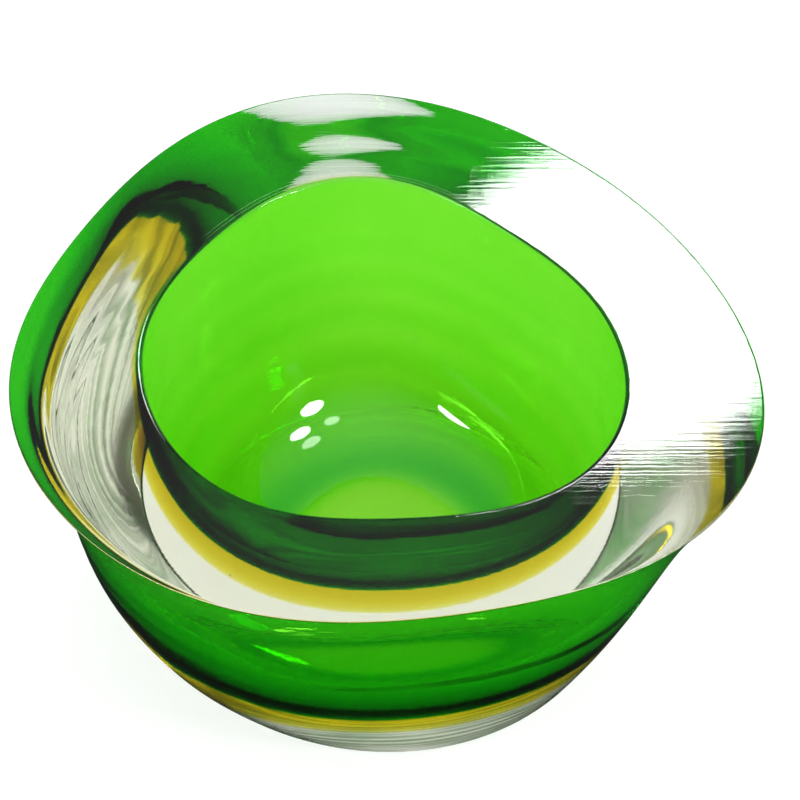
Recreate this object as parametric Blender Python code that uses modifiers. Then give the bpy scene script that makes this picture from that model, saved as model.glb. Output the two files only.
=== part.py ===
"""Cased art glass bowl with a ground and polished rim.

Three layers of glass, turned about the upright axis and then pulled out of
round together: a green inner cup, a thin amber layer under it that swells
into a lens below the floor, and a thick clear body outside both.
"""
import math

import bmesh
import bpy

# ---- driving dimensions, in metres ----
BOWL_HEIGHT = 0.066
FUSE_GAP = 0.0003          # room left between two fused layers
SEGMENTS = 64              # steps of each turned piece

CAVITY_RADIUS = 0.0470     # mean radius of the opening
CAVITY_DEPTH = 0.0595
CAVITY_FULLNESS = 3.4      # 2 is an ellipse, higher is squarer
CAVITY_STEPS = 15

GREEN_RIM_WALL = 0.0015    # thickness of the green glass at the rim
GREEN_FLOOR = 0.0020
GREEN_FULLNESS = 3.4

FLOOR_RING = 0.0012        # extra green in a ring under the cup's floor
FLOOR_RING_RADIUS = 0.0250
FLOOR_RING_SPREAD = 0.0040
FLOOR_MIDDLE = 0.0009      # how much thinner the green is inside that ring
FLOOR_MIDDLE_RADIUS = 0.0190
FLOOR_MIDDLE_EASE = 0.0012

AMBER_RIM_WALL = 0.0008
AMBER_FLOOR = 0.0022
AMBER_FULLNESS = 5.0

RIM_RADIUS = 0.0736        # mean radius of the outer edge of the cut rim
BASE_RADIUS = 0.0486       # mean radius where the wall meets the ground base
WALL_STEPS = 12
RIM_BEVEL = 0.0005         # polished edge between rim face and wall
BASE_BEVEL = 0.0008

# How the wall leaves a straight cone: how full it is low down and high up, at
# eight places round the bowl, from +X toward +Y.
WALL_LOW = (0.16, 0.19, 0.22, 0.38, 0.58, 0.37, 0.11, 0.08)
WALL_HIGH = (-0.15, -0.09, 0.05, 0.04, -0.31, -0.25, -0.15, -0.14)

# Lobes that pull each outline out of round: (waves per turn, height of the
# wave in metres, direction of a crest in degrees).
RIM_LOBES = ((1, 0.0030, -113), (2, 0.0018, -43), (3, 0.0036, -23), (5, 0.0007, -33))
CAVITY_LOBES = ((1, 0.0028, -117), (2, 0.0019, -40), (3, 0.0024, -25), (5, 0.0006, 25))
BASE_LOBES = ((1, 0.0034, -90), (2, 0.0007, 35), (3, 0.0007, 60))

GREEN = (0.030, 0.330, 0.020, 1.0)
AMBER = (0.720, 0.400, 0.030, 1.0)
CLEAR = (0.850, 0.900, 0.860, 1.0)


def clear_scene():
    for item in list(bpy.data.objects):
        bpy.data.objects.remove(item, do_unlink=True)


def glass(name, colour):
    mat = bpy.data.materials.new(name)
    mat.use_nodes = True
    bsdf = mat.node_tree.nodes["Principled BSDF"]
    bsdf.inputs["Base Color"].default_value = colour
    bsdf.inputs["Roughness"].default_value = 0.03
    bsdf.inputs["IOR"].default_value = 1.5
    bsdf.inputs["Transmission Weight"].default_value = 1.0
    return mat


def cup_curve(radius, depth, fullness, steps):
    """Half outline of a cup, from its lip down to the middle of its floor."""
    points = []
    for step in range(steps + 1):
        turn = 0.5 * math.pi * step / steps
        across = radius * max(math.cos(turn), 0.0) ** (2.0 / fullness)
        down = depth * math.sin(turn) ** (2.0 / fullness)
        points.append((across, BOWL_HEIGHT - down))
    points[-1] = (0.0, BOWL_HEIGHT - depth)
    return points


def floor_swell(across):
    """Extra green under the cup: a thick ring round a thin middle."""
    ring = FLOOR_RING * math.exp(-((across - FLOOR_RING_RADIUS) / FLOOR_RING_SPREAD) ** 2)
    edge = math.exp((across - FLOOR_MIDDLE_RADIUS) / FLOOR_MIDDLE_EASE)
    return ring - FLOOR_MIDDLE / (1.0 + edge)


def swelled(points):
    return [(across, height - floor_swell(across)) for across, height in points]


def wall_reach(rise, low, high):
    """Share of the way from the base outline to the rim outline."""
    fall = 1.0 - rise
    return rise + 3.0 * rise * fall * (fall * low + rise * high)


def mean_wall(height):
    rise = min(max(height / BOWL_HEIGHT, 0.0), 1.0)
    low = sum(WALL_LOW) / len(WALL_LOW)
    high = sum(WALL_HIGH) / len(WALL_HIGH)
    reach = wall_reach(rise, low, high)
    return BASE_RADIUS + (RIM_RADIUS - BASE_RADIUS) * reach


def mean_cavity(height):
    down = min(max((BOWL_HEIGHT - height) / CAVITY_DEPTH, 0.0), 1.0)
    return CAVITY_RADIUS * (1.0 - down ** CAVITY_FULLNESS) ** (1.0 / CAVITY_FULLNESS)


def lobes(waves, angle, fade):
    """Sum of the waves; those above one per turn are faded."""
    total = 0.0
    for count, size, crest in waves:
        share = 1.0 if count == 1 else fade
        total += share * size * math.cos(count * (angle - math.radians(crest)))
    return total


def round_the_bowl(values, angle):
    """Value at an angle, eased between the values given at equal turns."""
    count = len(values)
    place = (angle / (2.0 * math.pi) * count) % count
    lower = int(place) % count
    share = place - int(place)
    share = share * share * (3.0 - 2.0 * share)
    return values[lower] * (1.0 - share) + values[(lower + 1) % count] * share


def wall_stretch(angle, height):
    rise = min(max(height / BOWL_HEIGHT, 0.0), 1.0)
    low = round_the_bowl(WALL_LOW, angle)
    high = round_the_bowl(WALL_HIGH, angle)
    rim = RIM_RADIUS + lobes(RIM_LOBES, angle, 1.0)
    base = BASE_RADIUS + lobes(BASE_LOBES, angle, 1.0)
    return (base + (rim - base) * wall_reach(rise, low, high)) / mean_wall(height)


def cavity_stretch(angle, height):
    down = min(max((BOWL_HEIGHT - height) / BOWL_HEIGHT, 0.0), 1.0)
    return 1.0 + lobes(CAVITY_LOBES, angle, 1.0 - 0.6 * down) / CAVITY_RADIUS


def pull_out_of_round(obj):
    """Move every point out from the axis with the same smooth pull."""
    for vert in obj.data.vertices:
        radius = math.hypot(vert.co.x, vert.co.y)
        if radius < 1e-7:
            continue
        angle = math.atan2(vert.co.y, vert.co.x)
        inner = mean_cavity(vert.co.z)
        outer = mean_wall(vert.co.z)
        mix = min(max((radius - inner) / (outer - inner), 0.0), 1.0)
        near = cavity_stretch(angle, vert.co.z)
        far = wall_stretch(angle, vert.co.z)
        pull = near + (far - near) * mix
        vert.co.x *= pull
        vert.co.y *= pull


def turned(name, outline, material, home):
    """Turn a half outline about the upright axis into one closed piece."""
    mesh = bpy.data.meshes.new(name)
    shape = bmesh.new()
    last = None
    for across, height in outline:
        point = shape.verts.new((across, 0.0, height))
        if last is not None:
            shape.edges.new((last, point))
        last = point
    shape.to_mesh(mesh)
    shape.free()
    obj = bpy.data.objects.new(name, mesh)
    home.objects.link(obj)
    mesh.materials.append(material)
    screw = obj.modifiers.new("Turn", "SCREW")
    screw.axis = "Z"
    screw.angle = 2.0 * math.pi
    screw.steps = SEGMENTS
    screw.render_steps = SEGMENTS
    screw.use_merge_vertices = True
    screw.merge_threshold = 0.00005
    screw.use_smooth_shade = True
    bpy.context.view_layer.objects.active = obj
    bpy.ops.object.modifier_apply(modifier=screw.name)
    pull_out_of_round(obj)
    return obj


def middle_on_origin(pieces):
    """Slide all pieces together so the bowl stands centred on the origin."""
    for axis in (0, 1):
        places = [vert.co[axis] for obj in pieces for vert in obj.data.vertices]
        shift = 0.5 * (min(places) + max(places))
        for obj in pieces:
            for vert in obj.data.vertices:
                vert.co[axis] -= shift


def build():
    clear_scene()
    home = bpy.data.collections.new("art_glass_bowl")
    bpy.context.scene.collection.children.link(home)

    inside = cup_curve(CAVITY_RADIUS, CAVITY_DEPTH, CAVITY_FULLNESS, CAVITY_STEPS)

    green_radius = CAVITY_RADIUS + GREEN_RIM_WALL
    green_depth = CAVITY_DEPTH + GREEN_FLOOR
    green_outside = swelled(cup_curve(green_radius, green_depth, GREEN_FULLNESS, CAVITY_STEPS))

    amber_inner_radius = green_radius + FUSE_GAP
    amber_inner_depth = green_depth + FUSE_GAP
    amber_inside = cup_curve(amber_inner_radius, amber_inner_depth, GREEN_FULLNESS, CAVITY_STEPS)
    amber_inside = swelled(amber_inside)
    amber_radius = amber_inner_radius + AMBER_RIM_WALL
    amber_depth = amber_inner_depth + AMBER_FLOOR
    amber_outside = cup_curve(amber_radius, amber_depth, AMBER_FULLNESS, CAVITY_STEPS)

    pocket_radius = amber_radius + FUSE_GAP
    pocket_depth = amber_depth + FUSE_GAP
    pocket = cup_curve(pocket_radius, pocket_depth, AMBER_FULLNESS, CAVITY_STEPS)

    wall = [(RIM_RADIUS - RIM_BEVEL, BOWL_HEIGHT)]
    for step in range(WALL_STEPS + 1):
        share = 1.0 - step / WALL_STEPS
        height = BASE_BEVEL + (BOWL_HEIGHT - RIM_BEVEL - BASE_BEVEL) * share
        wall.append((mean_wall(height), height))
    wall.append((BASE_RADIUS - BASE_BEVEL, 0.0))
    wall.append((0.0, 0.0))

    pieces = [
        turned("green_cup", inside[::-1] + green_outside, glass("green_glass", GREEN), home),
        turned("amber_layer", amber_inside[::-1] + amber_outside, glass("amber_glass", AMBER), home),
        turned("clear_casing", pocket[::-1] + wall, glass("clear_glass", CLEAR), home),
    ]
    middle_on_origin(pieces)


build()
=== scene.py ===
"""Cased art glass bowl: green cup over amber, in thick clear glass.

The three layers are turned as by hand, pulled out of round together, and
laid a hair's gap apart. Where two layers are fused the light passes straight
through; only the open faces bend and mirror it.
"""
import math

import bpy
import numpy as np
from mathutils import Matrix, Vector


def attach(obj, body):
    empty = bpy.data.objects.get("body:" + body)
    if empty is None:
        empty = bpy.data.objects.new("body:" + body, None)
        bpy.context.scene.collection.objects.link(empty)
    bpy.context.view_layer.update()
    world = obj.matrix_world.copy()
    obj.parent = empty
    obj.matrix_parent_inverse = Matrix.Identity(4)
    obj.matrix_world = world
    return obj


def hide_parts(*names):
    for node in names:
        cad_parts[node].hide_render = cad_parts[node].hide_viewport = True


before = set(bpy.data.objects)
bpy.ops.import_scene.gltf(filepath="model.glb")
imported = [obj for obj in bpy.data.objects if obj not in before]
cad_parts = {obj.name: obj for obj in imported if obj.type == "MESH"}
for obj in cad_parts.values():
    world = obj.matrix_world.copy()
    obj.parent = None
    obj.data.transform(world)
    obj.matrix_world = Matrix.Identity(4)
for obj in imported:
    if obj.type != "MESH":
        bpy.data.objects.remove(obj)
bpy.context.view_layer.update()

# ---- driving dimensions, in metres ----
BOWL_HEIGHT = 0.066
SEGMENTS = 192
FUSE_GAP = 0.00002

CAVITY_RADIUS = 0.0470
CAVITY_DEPTH = 0.0595
CAVITY_FULLNESS = 3.4
CAVITY_STEPS = 44

GREEN_RIM_WALL = 0.0015
GREEN_FLOOR = 0.0020
GREEN_FULLNESS = 3.4

FLOOR_RING = 0.0012
FLOOR_RING_RADIUS = 0.0250
FLOOR_RING_SPREAD = 0.0040
FLOOR_MIDDLE = 0.0009
FLOOR_MIDDLE_RADIUS = 0.0190
FLOOR_MIDDLE_EASE = 0.0012

# soft waves in the green and amber layers, still at the middle of the floor
HAND_WAVE = 0.00012
HAND_WAVE_LENGTH = 0.009
HAND_WAVE_REACH = 0.02

AMBER_RIM_WALL = 0.0008
AMBER_FLOOR = 0.0025
AMBER_FULLNESS = 5.0

RIM_RADIUS = 0.0736
BASE_RADIUS = 0.0486
WALL_STEPS = 66
RIM_BEVEL = 0.0005
BASE_BEVEL = 0.0008
LIP_BEVEL = 0.0009
RIM_FLAT = 0.01
HOLD = 0.0001
CORNER_STEPS = 5

# bubbles in the clear glass: where each one is, and its radius
SEEDS = (
    ((0.0606, 0.0075, 0.0636), 0.00050),
    ((-0.0612, 0.0190, 0.0600), 0.00022),
    ((-0.0560, -0.0190, 0.0560), 0.00018),
    ((0.0250, 0.0560, 0.0570), 0.00020),
    ((0.0540, -0.0290, 0.0500), 0.00025),
    ((-0.0300, -0.0560, 0.0540), 0.00018),
)
SEED_SQUASH = (1.0, 0.8, 0.7)

# bulge of the wall low down and high up, at eight equal turns from the right
WALL_LOW = (0.16, 0.19, 0.22, 0.38, 0.58, 0.37, 0.11, 0.08)
WALL_HIGH = (-0.15, -0.09, 0.05, 0.04, -0.31, -0.25, -0.15, -0.14)
# size, length, first and last depth under the rim, middle angle, spread in degrees
WALL_WAVES = (
    (0.000125, 0.0138, -0.0026, 0.018, 77, 22),
    (0.000090, 0.0065, 0.0000, 0.036, 203, 38),
)
WALL_WAVE_EASE = 0.005

# how each outline leaves the circle: waves in a turn, size, angle of a crest
RIM_LOBES = ((1, 0.0030, -113), (2, 0.0018, -43), (3, 0.0036, -23), (5, 0.0007, -33))
CAVITY_LOBES = ((1, 0.0028, -117), (2, 0.0019, -40), (3, 0.0024, -25), (5, 0.0006, 25))
BASE_LOBES = ((1, 0.0034, -90), (2, 0.0007, 35), (3, 0.0007, 60))
CAVITY_ROUNDS_OFF = 0.6

WELD = 1e-6
ON_OUTLINE = 0.00005
SMOOTH_ANGLE = 40

# ---- the glass: colour left after absorption, and how dense it is ----
GREEN_ABSORB, GREEN_DENSITY = (0.50, 0.912, 0.05, 1), 2140.0
AMBER_ABSORB, AMBER_DENSITY = (0.95, 0.925, 0.38, 1), 260.0
CLEAR_ABSORB, CLEAR_DENSITY = (0.90, 0.92, 0.75, 1), 8.0
GLASS_IOR = 1.5
WHITE = (1, 1, 1, 1)

RIPPLE_STRETCH = (12.0, 12.0, 420.0)
RIPPLE_DEPTH = 0.000012
LAP_TURN = (0.0, 0.0, -0.12)
LAP_STRETCH = (10.0, 1300.0, 1.0)
LAP_DEPTH = 0.0000065
TOP_STARTS, TOP_FULL = 0.0658, 0.0659

FOOT_FULL, FOOT_ENDS = 0.0001, 0.0003
FOOT_GRIND = 0.25
FOOT_TINT = (0.95, 0.90, 0.80, 1)
FOOT_IOR = 1.03
RING_SCALE = 420.0
PATCH_SCALE = 38.0
WORN_FROM, WORN_TO = 0.8, 1.2
WORN_LEAST, WORN_MOST = 0.35, 0.95
# painted shade: towards +X the foot lets less of the glowing floor through, so the lower right of
# the bowl reads darker, as if its surroundings were darker
SHADED_SIDE_FROM, SHADED_SIDE_TO = 0.005, 0.040
SHADED_SIDE_LEAST = 0.3

# ---- floor, sky, lights and camera ----
FLOOR_SIZE = 3.0
FLOOR_DROP = 0.00005
FLOOR_GREY = (0.3, 0.3, 0.3, 1)
FLOOR_ROUGHNESS = 0.8
FLOOR_GLOW = 0.76

# brightness of the sky from straight below, 0, to straight above, 1
SKY = ((0.0, 0.02), (0.35, 0.02), (0.43, 1.0), (0.55, 1.0),
       (0.725, 0.06), (0.79, 0.06), (0.90, 0.55), (1.0, 1.0))

# round lamps that show as glints: place, aim, size, power
BOWL_MIDDLE = (0, 0, 0)
GLINTS = (
    ("window", (0.127, 1.0, 1.067), (0.127, 0.0, 1.067), (0.205, 0.25), 3.4),
    ("lamp one", (0.68, -0.48, 0.85), BOWL_MIDDLE, (0.28, 0.22), 4.5),
    ("lamp two", (0.67, -0.12, 0.98), BOWL_MIDDLE, (0.19, 0.19), 2.4),
    ("lamp three", (-0.83, -0.46, 0.71), BOWL_MIDDLE, (0.30, 0.20), 3.5),
    ("lamp four", (0.43, -0.30, 1.08), BOWL_MIDDLE, (0.17, 0.15), 0.55),
    ("lamp five", (0.52, 0.02, 1.08), BOWL_MIDDLE, (0.17, 0.15), 0.55),
    ("lamp six", (-0.96, -0.30, 0.63), BOWL_MIDDLE, (0.20, 0.14), 0.6),
)
# broad lights that only fill, and show in no glint
FILLS = (
    ("overhead", (0.0, 0.0, 1.3), BOWL_MIDDLE, (1.4, 1.4), 4),
    ("back fill", (-0.45, 1.2, 1.1), BOWL_MIDDLE, (1.4, 1.0), 4),
)

CAMERA_LENS = 181.4
CAMERA_CLIP = 0.05
CAMERA_PLACE = (0.0004, -0.5634, 0.6447)
CAMERA_AIM = (0.0028, -0.0162, 0.066)


# ---------------------------------------------------------------- outlines

def cup_curve(radius, depth, fullness):
    """Half outline of a cup, from its rim down to the middle of its floor."""
    points = []
    for step in range(CAVITY_STEPS + 1):
        turn = 0.5 * math.pi * step / CAVITY_STEPS
        across = radius * max(math.cos(turn), 0.0) ** (2.0 / fullness)
        down = depth * math.sin(turn) ** (2.0 / fullness)
        points.append((across, BOWL_HEIGHT - down))
    points[-1] = (0.0, BOWL_HEIGHT - depth)
    return points


def floor_swell(across):
    """Extra green under the cup: a thick ring round a thin middle."""
    ring = FLOOR_RING * math.exp(-((across - FLOOR_RING_RADIUS) / FLOOR_RING_SPREAD) ** 2)
    middle = FLOOR_MIDDLE / (1.0 + math.exp((across - FLOOR_MIDDLE_RADIUS) / FLOOR_MIDDLE_EASE))
    return ring - middle


def swelled(points):
    """The outline with soft waves in its wall and the swell in its floor."""
    out = []
    for across, height in points:
        depth = (BOWL_HEIGHT - height) / CAVITY_DEPTH
        wave = HAND_WAVE * depth * math.sin(2.0 * math.pi * height / HAND_WAVE_LENGTH)
        wave = wave * min(across / HAND_WAVE_REACH, 1.0)
        out.append((across + wave, height - floor_swell(across)))
    return out


def wall_reach(rise, low, high):
    """Share of the way from foot to rim at a height, bulged low and high."""
    fall = 1.0 - rise
    return rise + 3.0 * rise * fall * (fall * low + rise * high)


def mean_wall(height):
    rise = np.clip(height / BOWL_HEIGHT, 0.0, 1.0)
    reach = wall_reach(rise, np.mean(WALL_LOW), np.mean(WALL_HIGH))
    return BASE_RADIUS + (RIM_RADIUS - BASE_RADIUS) * reach


def mean_cavity(height):
    down = np.clip((BOWL_HEIGHT - height) / CAVITY_DEPTH, 0.0, 1.0)
    return CAVITY_RADIUS * (1.0 - down ** CAVITY_FULLNESS) ** (1.0 / CAVITY_FULLNESS)


def lobes(waves, angle, fade):
    """Distance out of round at an angle; fade leaves the off-centre part whole."""
    total = np.zeros_like(angle)
    for count, size, crest in waves:
        share = 1.0 if count == 1 else fade
        total = total + share * size * np.cos(count * (angle - math.radians(crest)))
    return total


def round_the_bowl(values, angle):
    """Value at an angle, eased between the values given at equal turns."""
    count = len(values)
    place = (angle / (2.0 * math.pi) * count) % count
    lower = np.floor(place).astype(int) % count
    share = place - np.floor(place)
    share = share * share * (3.0 - 2.0 * share)
    values = np.array(values)
    return values[lower] * (1.0 - share) + values[(lower + 1) % count] * share


def wall_waves(angle, height):
    """Shallow waves that the tool left in the wall."""
    down = BOWL_HEIGHT - height
    total = np.zeros_like(angle)
    for size, length, start, end, middle, spread in WALL_WAVES:
        away = (angle - math.radians(middle) + math.pi) % (2.0 * math.pi) - math.pi
        fade = np.exp(-(away / math.radians(spread)) ** 2)
        fade = fade * np.clip((end + WALL_WAVE_EASE - down) / WALL_WAVE_EASE, 0.0, 1.0)
        total = total + size * fade * np.sin(2.0 * math.pi * (down - start) / length)
    return total


def wall_stretch(angle, height):
    rise = np.clip(height / BOWL_HEIGHT, 0.0, 1.0)
    low = round_the_bowl(WALL_LOW, angle)
    high = round_the_bowl(WALL_HIGH, angle)
    rim = RIM_RADIUS + lobes(RIM_LOBES, angle, 1.0)
    base = BASE_RADIUS + lobes(BASE_LOBES, angle, 1.0)
    reach = base + (rim - base) * wall_reach(rise, low, high)
    return (reach + wall_waves(angle, height)) / mean_wall(height)


def cavity_stretch(angle, height):
    down = np.clip((BOWL_HEIGHT - height) / BOWL_HEIGHT, 0.0, 1.0)
    return 1.0 + lobes(CAVITY_LOBES, angle, 1.0 - CAVITY_ROUNDS_OFF * down) / CAVITY_RADIUS


# ---------------------------------------------------------------- modelling

def turned_piece(name, outline):
    """Draw the half outline point by point, then spin it round the upright axis."""
    bpy.ops.object.select_all(action="DESELECT")
    start = outline[0]
    bpy.ops.mesh.primitive_plane_add(size=0.001, location=(0, 0, 0))
    obj = bpy.context.object
    obj.name = name
    obj.data.name = name
    bpy.ops.object.mode_set(mode="EDIT")
    bpy.ops.mesh.select_all(action="SELECT")
    bpy.ops.mesh.merge(type="CENTER")
    bpy.ops.transform.translate(value=(start[0], 0.0, start[1]))
    here = start
    for there in outline[1:]:
        step = (there[0] - here[0], 0.0, there[1] - here[1])
        bpy.ops.mesh.extrude_region_move(TRANSFORM_OT_translate={"value": step})
        here = there
    bpy.ops.mesh.select_all(action="SELECT")
    bpy.ops.mesh.spin(steps=SEGMENTS, angle=2.0 * math.pi,
                      center=(0, 0, 0), axis=(0, 0, 1))
    bpy.ops.mesh.select_all(action="SELECT")
    bpy.ops.mesh.remove_doubles(threshold=WELD)
    bpy.ops.mesh.normals_make_consistent(inside=False)
    bpy.ops.object.mode_set(mode="OBJECT")
    return obj


def points_of(obj):
    flat = np.empty(len(obj.data.vertices) * 3)
    obj.data.vertices.foreach_get("co", flat)
    return flat.reshape(-1, 3)


def put_points(obj, points):
    obj.data.vertices.foreach_set("co", points.reshape(-1))
    obj.data.update()


def mark_fused(obj, outlines):
    """Mark the faces that lie on a fused outline: 1 there, 0 on open glass."""
    centres = np.empty(len(obj.data.polygons) * 3)
    obj.data.polygons.foreach_get("center", centres)
    centres = centres.reshape(-1, 3)
    flat = np.stack([np.hypot(centres[:, 0], centres[:, 1]), centres[:, 2]], axis=1)
    nearest = np.full(len(flat), 1.0)
    for outline in outlines:
        line = np.array(outline)
        for a, b in zip(line[:-1], line[1:]):
            along = b - a
            share = np.clip(((flat - a) @ along) / max(along @ along, 1e-18), 0.0, 1.0)
            gap = np.linalg.norm(flat - a - share[:, None] * along, axis=1)
            nearest = np.minimum(nearest, gap)
    mark = obj.data.attributes.new("fused", "FLOAT", "FACE")
    mark.data.foreach_set("value", (nearest < ON_OUTLINE).astype(float))


def pull_out_of_round(obj):
    """Pull every layer the same way, so that fused faces stay side by side."""
    points = points_of(obj)
    radius = np.hypot(points[:, 0], points[:, 1])
    angle = np.arctan2(points[:, 1], points[:, 0])
    inner = mean_cavity(points[:, 2])
    outer = mean_wall(points[:, 2])
    mix = np.clip((radius - inner) / (outer - inner), 0.0, 1.0)
    near = cavity_stretch(angle, points[:, 2])
    far = wall_stretch(angle, points[:, 2])
    pull = near + (far - near) * mix
    points[:, 0] *= pull
    points[:, 1] *= pull
    put_points(obj, points)


def middle_on_origin(pieces):
    """Move all pieces together until the middle of the bowl is on the axis."""
    spread = np.concatenate([points_of(obj) for obj in pieces])
    shift = 0.5 * (spread.min(axis=0) + spread.max(axis=0))
    for obj in pieces:
        points = points_of(obj)
        points[:, :2] -= shift[:2]
        put_points(obj, points)


def bubble_into(casing, seeds):
    """Small round air bubbles inside the clear glass."""
    bubbles = []
    for place, radius in seeds:
        bpy.ops.object.select_all(action="DESELECT")
        bpy.ops.mesh.primitive_ico_sphere_add(subdivisions=3, radius=radius, location=place)
        bpy.ops.transform.resize(value=SEED_SQUASH)
        bpy.ops.object.transform_apply(location=True, rotation=True, scale=True)
        bpy.ops.object.mode_set(mode="EDIT")
        bpy.ops.mesh.select_all(action="SELECT")
        bpy.ops.mesh.flip_normals()
        bpy.ops.object.mode_set(mode="OBJECT")
        bubble = bpy.context.object
        mark = bubble.data.attributes.new("fused", "FLOAT", "FACE")
        mark.data.foreach_set("value", [0.0] * len(bubble.data.polygons))
        bubbles.append(bubble)
    bpy.ops.object.select_all(action="DESELECT")
    for bubble in bubbles:
        bubble.select_set(True)
    casing.select_set(True)
    bpy.context.view_layer.objects.active = casing
    bpy.ops.object.join()


def smooth(obj):
    bpy.ops.object.select_all(action="DESELECT")
    obj.select_set(True)
    bpy.context.view_layer.objects.active = obj
    bpy.ops.object.shade_smooth_by_angle(angle=math.radians(SMOOTH_ANGLE))


def rounded(corner, before, after, size):
    """Corner of an outline made round, with a point each side to hold the flats."""
    corner = np.array(corner)
    back = np.array(before) - corner
    back = back / np.linalg.norm(back)
    on = np.array(after) - corner
    on = on / np.linalg.norm(on)
    first, last = corner + size * back, corner + size * on
    out = [corner + (size + HOLD) * back]
    for step in range(CORNER_STEPS + 1):
        t = step / CORNER_STEPS
        out.append((1 - t) ** 2 * first + 2 * t * (1 - t) * corner + t * t * last)
    out.append(corner + (size + HOLD) * on)
    return [(float(across), float(height)) for across, height in out]


# ---------------------------------------------------------------- materials

class Value:
    """A number that varies over a surface; sums and products add Math nodes."""

    def __init__(self, graph, socket):
        self.graph = graph
        self.socket = socket

    def maths(self, operation, first, second):
        return self.graph.value("ShaderNodeMath", {"operation": operation}, {0: first, 1: second})

    def __add__(self, other):
        return self.maths("ADD", self, other)

    def __radd__(self, other):
        return self.maths("ADD", other, self)

    def __mul__(self, other):
        return self.maths("MULTIPLY", self, other)

    def __rmul__(self, other):
        return self.maths("MULTIPLY", other, self)


def set_stops(bands, stops):
    bands.elements[0].position = stops[0][0]
    bands.elements[-1].position = stops[-1][0]
    for place, level in stops[1:-1]:
        bands.elements.new(place)
    for element, (place, level) in zip(bands.elements, stops):
        element.color = (level, level, level, 1)


class Graph:
    """The nodes of one material, or of the sky."""

    def __init__(self, tree):
        self.tree = tree
        tree.nodes.clear()

    def node(self, kind, settings=None, inputs=None):
        made = self.tree.nodes.new(kind)
        for key, setting in (settings or {}).items():
            if key == "stops":
                set_stops(made.color_ramp, setting)
            else:
                setattr(made, key, setting)
        for key, given in (inputs or {}).items():
            if isinstance(given, Value):
                given = given.socket
            if isinstance(given, bpy.types.NodeSocket):
                self.tree.links.new(given, made.inputs[key])
            else:
                made.inputs[key].default_value = given
        return made

    def value(self, kind, settings=None, inputs=None, output=0):
        return Value(self, self.node(kind, settings, inputs).outputs[output])

    def between(self, source, start, end, first, last):
        """Goes from first to last while source goes from start to end."""
        return self.value("ShaderNodeMapRange", inputs={
            0: source, 1: start, 2: end, 3: first, 4: last})

    def stretched(self, place, scale, turn=(0.0, 0.0, 0.0)):
        mapping = self.node("ShaderNodeMapping", inputs={
            "Vector": place, "Rotation": turn, "Scale": scale})
        return mapping.outputs[0]

    def noise(self, place, scale, detail):
        return self.value("ShaderNodeTexNoise", inputs={
            "Vector": place, "Scale": scale, "Detail": detail})

    def bump(self, height, depth, under=None):
        inputs = {"Height": height, "Distance": depth, "Strength": 1.0}
        if under:
            inputs["Normal"] = under
        return self.node("ShaderNodeBump", inputs=inputs).outputs[0]


def new_material(name):
    material = bpy.data.materials.new(name)
    material.use_nodes = True
    return material, Graph(material.node_tree)


def foot_wear_and_shade(glass, place, split):
    """Share of the foot that lets the floor show: worn rings and patches, thinned towards +X as
    painted shade.
    """
    flat = glass.node("ShaderNodeCombineXYZ", inputs={
        0: split.outputs["X"], 1: split.outputs["Y"]})
    reach = glass.node("ShaderNodeVectorMath", {"operation": "LENGTH"}, {0: flat.outputs[0]})
    rings = glass.value("ShaderNodeTexNoise", {"noise_dimensions": "1D"}, {
        "W": reach.outputs["Value"], "Scale": RING_SCALE, "Detail": 3.0})
    patches = glass.noise(place, PATCH_SCALE, 2.0)
    worn = glass.between(rings + patches, WORN_FROM, WORN_TO, WORN_LEAST, WORN_MOST)
    # painted shade, not wear: less floor shows through the foot towards +X, darkening the lower
    # right
    painted_shade_side = glass.between(split.outputs["X"], SHADED_SIDE_FROM, SHADED_SIDE_TO, 1.0, SHADED_SIDE_LEAST)
    under = glass.between(split.outputs["Z"], FOOT_FULL, FOOT_ENDS, 1.0, 0.0)
    return worn * painted_shade_side * under


def surface_waves(glass, place, split):
    """Soft ripples down the glass, and fine lines that cutting left on the rim."""
    ripple = glass.noise(glass.stretched(place, RIPPLE_STRETCH), 1.0, 3.0)
    lap = glass.noise(glass.stretched(place, LAP_STRETCH, LAP_TURN), 1.0, 4.0)
    top = glass.between(split.outputs["Z"], TOP_STARTS, TOP_FULL, 0.0, 1.0)
    return glass.bump(lap * top, LAP_DEPTH, glass.bump(ripple, RIPPLE_DEPTH))


def layer_glass(name, absorb, density):
    """Coloured glass: open faces bend light, fused faces let it straight through."""
    material, glass = new_material(name)
    place = glass.node("ShaderNodeTexCoord").outputs["Object"]
    split = glass.node("ShaderNodeSeparateXYZ", inputs={0: place})
    grind = glass.between(split.outputs["Z"], FOOT_FULL, FOOT_ENDS, FOOT_GRIND, 0.0)
    polished = glass.node("ShaderNodeBsdfPrincipled", inputs={
        "Normal": surface_waves(glass, place, split), "Base Color": WHITE,
        "Roughness": grind, "IOR": GLASS_IOR, "Transmission Weight": 1.0})
    foot = glass.node("ShaderNodeBsdfPrincipled", inputs={
        "Base Color": FOOT_TINT, "Roughness": FOOT_GRIND,
        "IOR": FOOT_IOR, "Transmission Weight": 1.0})
    open_glass = glass.node("ShaderNodeMixShader", inputs={
        0: foot_wear_and_shade(glass, place, split), 1: polished.outputs[0], 2: foot.outputs[0]})
    through = glass.node("ShaderNodeBsdfTransparent")
    fused = glass.node("ShaderNodeAttribute", {"attribute_name": "fused"})
    surface = glass.node("ShaderNodeMixShader", inputs={
        0: fused.outputs["Fac"], 1: open_glass.outputs[0], 2: through.outputs[0]})
    volume = glass.node("ShaderNodeVolumeAbsorption", inputs={
        "Color": absorb, "Density": density})
    glass.node("ShaderNodeOutputMaterial", inputs={
        "Surface": surface.outputs[0], "Volume": volume.outputs[0]})
    return material


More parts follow.
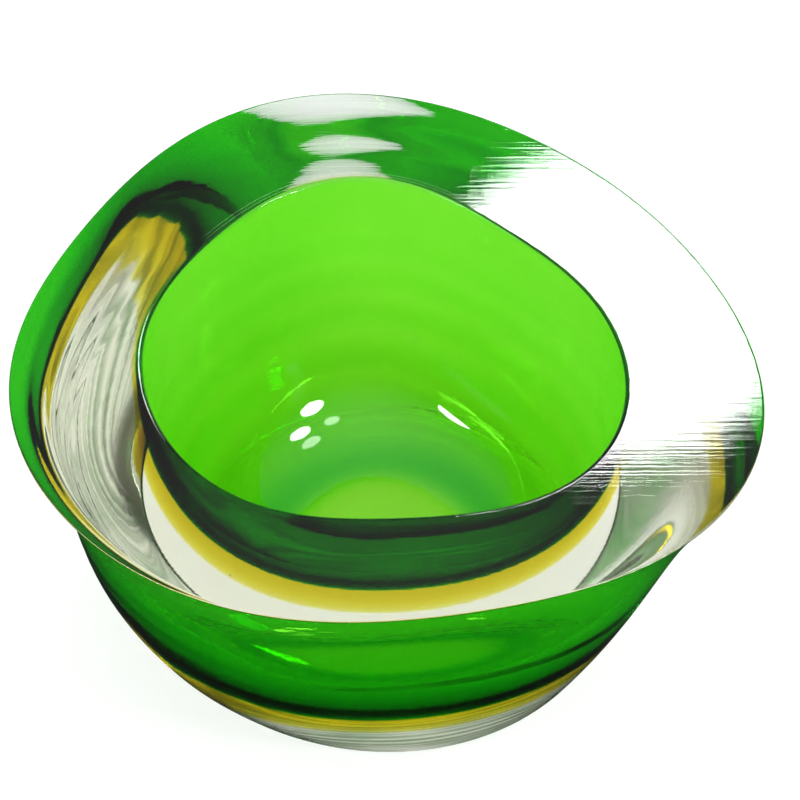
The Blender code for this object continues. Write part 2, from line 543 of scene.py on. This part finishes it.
def pale_floor():
    material, pale = new_material("pale floor")
    surface = pale.node("ShaderNodeBsdfPrincipled", inputs={
        "Base Color": FLOOR_GREY, "Roughness": FLOOR_ROUGHNESS,
        "Emission Color": WHITE, "Emission Strength": FLOOR_GLOW})
    pale.node("ShaderNodeOutputMaterial", inputs={"Surface": surface.outputs[0]})
    return material


def studio_sky():
    """Bright at eye level, dark above it, and softly bright overhead."""
    world = bpy.data.worlds.new("studio")
    world.use_nodes = True
    sky = Graph(world.node_tree)
    coord = sky.node("ShaderNodeTexCoord")
    split = sky.node("ShaderNodeSeparateXYZ", inputs={0: coord.outputs["Generated"]})
    height = sky.between(split.outputs["Z"], -1.0, 1.0, 0.0, 1.0)
    ramp = sky.node("ShaderNodeValToRGB", {"stops": SKY}, {0: height})
    glow = sky.node("ShaderNodeBackground", inputs={"Color": ramp.outputs[0]})
    sky.node("ShaderNodeOutputWorld", inputs={"Surface": glow.outputs[0]})
    return world


# ---------------------------------------------------------------- the bowl

green_radius = CAVITY_RADIUS + GREEN_RIM_WALL
green_depth = CAVITY_DEPTH + GREEN_FLOOR
amber_radius = green_radius + FUSE_GAP + AMBER_RIM_WALL
amber_depth = green_depth + FUSE_GAP + AMBER_FLOOR

inside = cup_curve(CAVITY_RADIUS, CAVITY_DEPTH, CAVITY_FULLNESS)
green_outside = swelled(cup_curve(green_radius, green_depth, GREEN_FULLNESS))
amber_inside = swelled(
    cup_curve(green_radius + FUSE_GAP, green_depth + FUSE_GAP, GREEN_FULLNESS))
amber_outside = cup_curve(amber_radius, amber_depth, AMBER_FULLNESS)
pocket = cup_curve(amber_radius + FUSE_GAP, amber_depth + FUSE_GAP, AMBER_FULLNESS)

lip = rounded(inside[0], inside[1], green_outside[0], LIP_BEVEL)
green_outline = inside[::-1][:-1] + lip + green_outside

wall = []
for step in range(WALL_STEPS + 1):
    height = BOWL_HEIGHT * (1.0 - step / WALL_STEPS)
    wall.append((float(mean_wall(height)), height))
rim_edge = rounded(wall[0], (wall[0][0] - RIM_FLAT, BOWL_HEIGHT), wall[1], RIM_BEVEL)
base_edge = rounded(wall[-1], wall[-2], (0.0, 0.0), BASE_BEVEL)
casing_outline = pocket[::-1] + rim_edge + wall[1:-1] + base_edge + [(0.0, 0.0)]

green = turned_piece("green_cup_glass", green_outline)
amber = turned_piece("amber_layer_glass", amber_inside[::-1] + amber_outside)
casing = turned_piece("clear_casing_glass", casing_outline)
mark_fused(green, [green_outside])
mark_fused(amber, [amber_inside, amber_outside])
mark_fused(casing, [pocket])
for piece in (green, amber, casing):
    pull_out_of_round(piece)
middle_on_origin([green, amber, casing])
bubble_into(casing, SEEDS)
for piece in (green, amber, casing):
    smooth(piece)

green.data.materials.append(layer_glass("green glass", GREEN_ABSORB, GREEN_DENSITY))
amber.data.materials.append(layer_glass("amber glass", AMBER_ABSORB, AMBER_DENSITY))
casing.data.materials.append(layer_glass("clear glass", CLEAR_ABSORB, CLEAR_DENSITY))
for piece in (green, amber, casing):
    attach(piece, "root")
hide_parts("green_cup")
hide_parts("amber_layer")
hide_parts("clear_casing")


# ---------------------------------------------------------------- floor and light

def facing(place, aim):
    return (Vector(aim) - Vector(place)).to_track_quat("-Z", "Y").to_euler()


def area_light(name, place, aim, size, power, shape):
    light = bpy.data.lights.new(name, "AREA")
    light.shape = shape
    light.size, light.size_y = size
    light.energy = power
    obj = bpy.data.objects.new(name, light)
    bpy.context.scene.collection.objects.link(obj)
    obj.location = place
    obj.rotation_euler = facing(place, aim)
    return obj


bpy.ops.object.select_all(action="DESELECT")
bpy.ops.mesh.primitive_plane_add(size=FLOOR_SIZE, location=(0, 0, -FLOOR_DROP))
floor = bpy.context.object
floor.name = "floor"
floor.data.materials.append(pale_floor())
floor.visible_glossy = False

bpy.context.scene.world = studio_sky()
for glint in GLINTS:
    area_light(*glint, shape="ELLIPSE")
for fill in FILLS:
    area_light(*fill, shape="RECTANGLE").visible_glossy = False


# ---------------------------------------------------------------- camera

camera = bpy.data.objects.new("camera", bpy.data.cameras.new("camera"))
bpy.context.scene.collection.objects.link(camera)
camera.data.lens = CAMERA_LENS
camera.data.clip_start = CAMERA_CLIP
camera.location = CAMERA_PLACE
camera.rotation_euler = facing(CAMERA_PLACE, CAMERA_AIM)
bpy.context.scene.camera = camera

bpy.context.scene.view_settings.view_transform = "Standard"
cycles = bpy.context.scene.cycles
cycles.max_bounces = 28
cycles.transmission_bounces = 32
cycles.glossy_bounces = 8
cycles.transparent_max_bounces = 64
